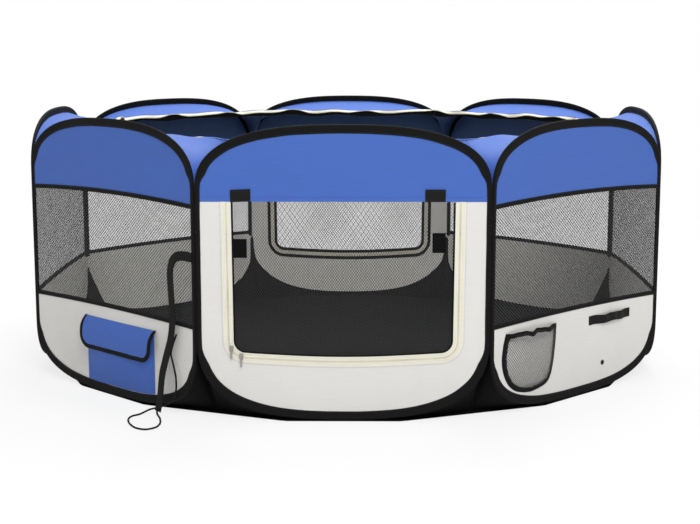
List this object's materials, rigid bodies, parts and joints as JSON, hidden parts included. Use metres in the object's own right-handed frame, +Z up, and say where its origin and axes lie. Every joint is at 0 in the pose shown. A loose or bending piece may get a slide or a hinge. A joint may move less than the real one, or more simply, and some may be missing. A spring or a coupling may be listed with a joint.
{
  "type": "foldable dog playpen",
  "caption": "Octagonal fabric dog playpen on spring wire hoops, with net windows, zipped doors, a roof collar, pockets and a star fold.",
  "frame": {"origin": "middle of the pen on the floor", "axes": "+Z up, the front door faces -Y, +X to the right seen from the front"},
  "size_m": [1.4558, 1.5302, 0.61],
  "materials": {
    "spring_steel": "drawn wire",
    "black_binding": "folded woven tape",
    "blue_oxford": "coated oxford cloth",
    "cream_oxford": "coated oxford cloth",
    "black_net": "knitted net",
    "black_oxford": "coated oxford cloth",
    "cream_zip": "woven zip tape with moulded teeth",
    "zip_metal": "plated casting",
    "black_webbing": "woven webbing"
  },
  "bodies": {
    "front_panel": {"front_hoop": "spring_steel", "front_binding": "black_binding", "front_band": "blue_oxford", "front_skirt": "cream_oxford", "front_zip_tape": "cream_zip", "floor_sheet": "black_oxford", "floor_corners": "black_oxford", "roof_collar": "blue_oxford", "roof_zip": "cream_zip", "tie_strap": "black_webbing", "tie_cord": "black_webbing"},
    "front_right_panel": {"front_right_hoop": "spring_steel", "front_right_binding": "black_binding", "front_right_band": "blue_oxford", "front_right_skirt": "cream_oxford", "front_right_window": "black_net", "bottle_pocket": "black_net", "elastic_strap": "black_webbing"},
    "right_panel": {"right_hoop": "spring_steel", "right_binding": "black_binding", "right_band": "blue_oxford", "right_skirt": "cream_oxford", "right_window": "black_net"},
    "back_right_panel": {"back_right_hoop": "spring_steel", "back_right_binding": "black_binding", "back_right_band": "blue_oxford", "back_right_skirt": "cream_oxford", "back_right_window": "black_net"},
    "back_panel": {"back_hoop": "spring_steel", "back_binding": "black_binding", "back_band": "blue_oxford", "back_skirt": "cream_oxford", "back_zip_tape": "cream_zip"},
    "back_left_panel": {"back_left_hoop": "spring_steel", "back_left_binding": "black_binding", "back_left_band": "blue_oxford", "back_left_skirt": "cream_oxford", "back_left_window": "black_net"},
    "left_panel": {"left_hoop": "spring_steel", "left_binding": "black_binding", "left_band": "blue_oxford", "left_skirt": "cream_oxford", "left_window": "black_net"},
    "front_left_panel": {"front_left_hoop": "spring_steel", "front_left_binding": "black_binding", "front_left_band": "blue_oxford", "front_left_skirt": "cream_oxford", "front_left_window": "black_net", "pocket_pouch": "blue_oxford"},
    "front_door": {"front_door_net": "black_net"},
    "front_slider_left": {"front_slider_left": "zip_metal"},
    "front_pull_left": {"front_pull_left": "zip_metal"},
    "front_slider_right": {"front_slider_right": "zip_metal"},
    "front_pull_right": {"front_pull_right": "zip_metal"},
    "back_door": {"back_door_net": "black_net"},
    "back_slider_left": {"back_slider_left": "zip_metal"},
    "back_pull_left": {"back_pull_left": "zip_metal"},
    "back_slider_right": {"back_slider_right": "zip_metal"},
    "back_pull_right": {"back_pull_right": "zip_metal"},
    "pocket_flap": {"pocket_flap": "blue_oxford"}
  },
  "joints": [
    {"name": "fold_front_left", "type": "hinge", "parent": "front_panel", "child": "front_left_panel", "pos_m": [-0.29834, -0.72026, 0], "axis": [0, 0, -1], "range_deg": [0, 130], "deforming": ["floor_corners", "roof_collar", "roof_zip"]},
    {"name": "fold_left", "type": "hinge", "parent": "front_left_panel", "child": "left_panel", "pos_m": [-0.72486, -0.30025, 0], "axis": [0, 0, 1], "range_deg": [0, 130]},
    {"name": "fold_back_left", "type": "hinge", "parent": "left_panel", "child": "back_left_panel", "pos_m": [-0.72026, 0.29834, 0], "axis": [0, 0, -1], "range_deg": [0, 130]},
    {"name": "fold_back", "type": "hinge", "parent": "back_left_panel", "child": "back_panel", "pos_m": [-0.30025, 0.72486, 0], "axis": [0, 0, 1], "range_deg": [0, 130]},
    {"name": "fold_front_right", "type": "hinge", "parent": "front_panel", "child": "front_right_panel", "pos_m": [0.30025, -0.72486, 0], "axis": [0, 0, -1], "range_deg": [0, 130]},
    {"name": "fold_right", "type": "hinge", "parent": "front_right_panel", "child": "right_panel", "pos_m": [0.72026, -0.29834, 0], "axis": [0, 0, 1], "range_deg": [0, 130]},
    {"name": "fold_back_right", "type": "hinge", "parent": "right_panel", "child": "back_right_panel", "pos_m": [0.72486, 0.30025, 0], "axis": [0, 0, -1], "range_deg": [0, 130]},
    {"name": "front_door_swing", "type": "hinge", "parent": "front_panel", "child": "front_door", "pos_m": [0, -0.72506, 0.4546], "axis": [-1, 0, 0], "range_deg": [0, 150]},
    {"name": "front_slider_left_run", "type": "slide", "parent": "front_door", "child": "front_slider_left", "axis": [-0.0286, 0, 0.9996], "range_m": [0, 0.245]},
    {"name": "front_pull_left_swing", "type": "hinge", "parent": "front_slider_left", "child": "front_pull_left", "pos_m": [-0.22885, -0.72816, 0.15211], "axis": [-1, 0, 0], "range_deg": [0, 150]},
    {"name": "front_slider_right_run", "type": "slide", "parent": "front_door", "child": "front_slider_right", "axis": [0.9988, 0, -0.0484], "range_m": [0, 0.2]},
    {"name": "front_pull_right_swing", "type": "hinge", "parent": "front_slider_right", "child": "front_pull_right", "pos_m": [-0.20879, -0.72816, 0.13565], "axis": [-1, 0, 0], "range_deg": [0, 150]},
    {"name": "back_door_swing", "type": "hinge", "parent": "back_panel", "child": "back_door", "pos_m": [0, 0.72506, 0.4546], "axis": [1, 0, 0], "range_deg": [0, 150]},
    {"name": "back_slider_left_run", "type": "slide", "parent": "back_door", "child": "back_slider_left", "axis": [0.0088, 0, 1], "range_m": [-0.03, 0.19]},
    {"name": "back_pull_left_swing", "type": "hinge", "parent": "back_slider_left", "child": "back_pull_left", "pos_m": [0.23431, 0.72816, 0.20541], "axis": [1, 0, 0], "range_deg": [0, 150]},
    {"name": "back_slider_right_run", "type": "slide", "parent": "back_door", "child": "back_slider_right", "axis": [-0.9992, 0, 0.0412], "range_m": [-0.06, 0.1]},
    {"name": "back_pull_right_swing", "type": "hinge", "parent": "back_slider_right", "child": "back_pull_right", "pos_m": [-0.07508, 0.72816, 0.12702], "axis": [1, 0, 0], "range_deg": [0, 150]},
    {"name": "pocket_flap_swing", "type": "hinge", "parent": "front_left_panel", "child": "pocket_flap", "pos_m": [-0.48936, -0.53674, 0.168], "axis": [-0.7071, 0.7071, 0], "range_deg": [0, 110]}
  ],
  "couplings": [
    {"joint": "fold_left", "follows": "fold_front_left", "ratio": 1},
    {"joint": "fold_back_left", "follows": "fold_front_left", "ratio": 1},
    {"joint": "fold_back", "follows": "fold_front_left", "ratio": 1},
    {"joint": "fold_front_right", "follows": "fold_front_left", "ratio": 1},
    {"joint": "fold_right", "follows": "fold_front_left", "ratio": 1},
    {"joint": "fold_back_right", "follows": "fold_front_left", "ratio": 1}
  ]
}
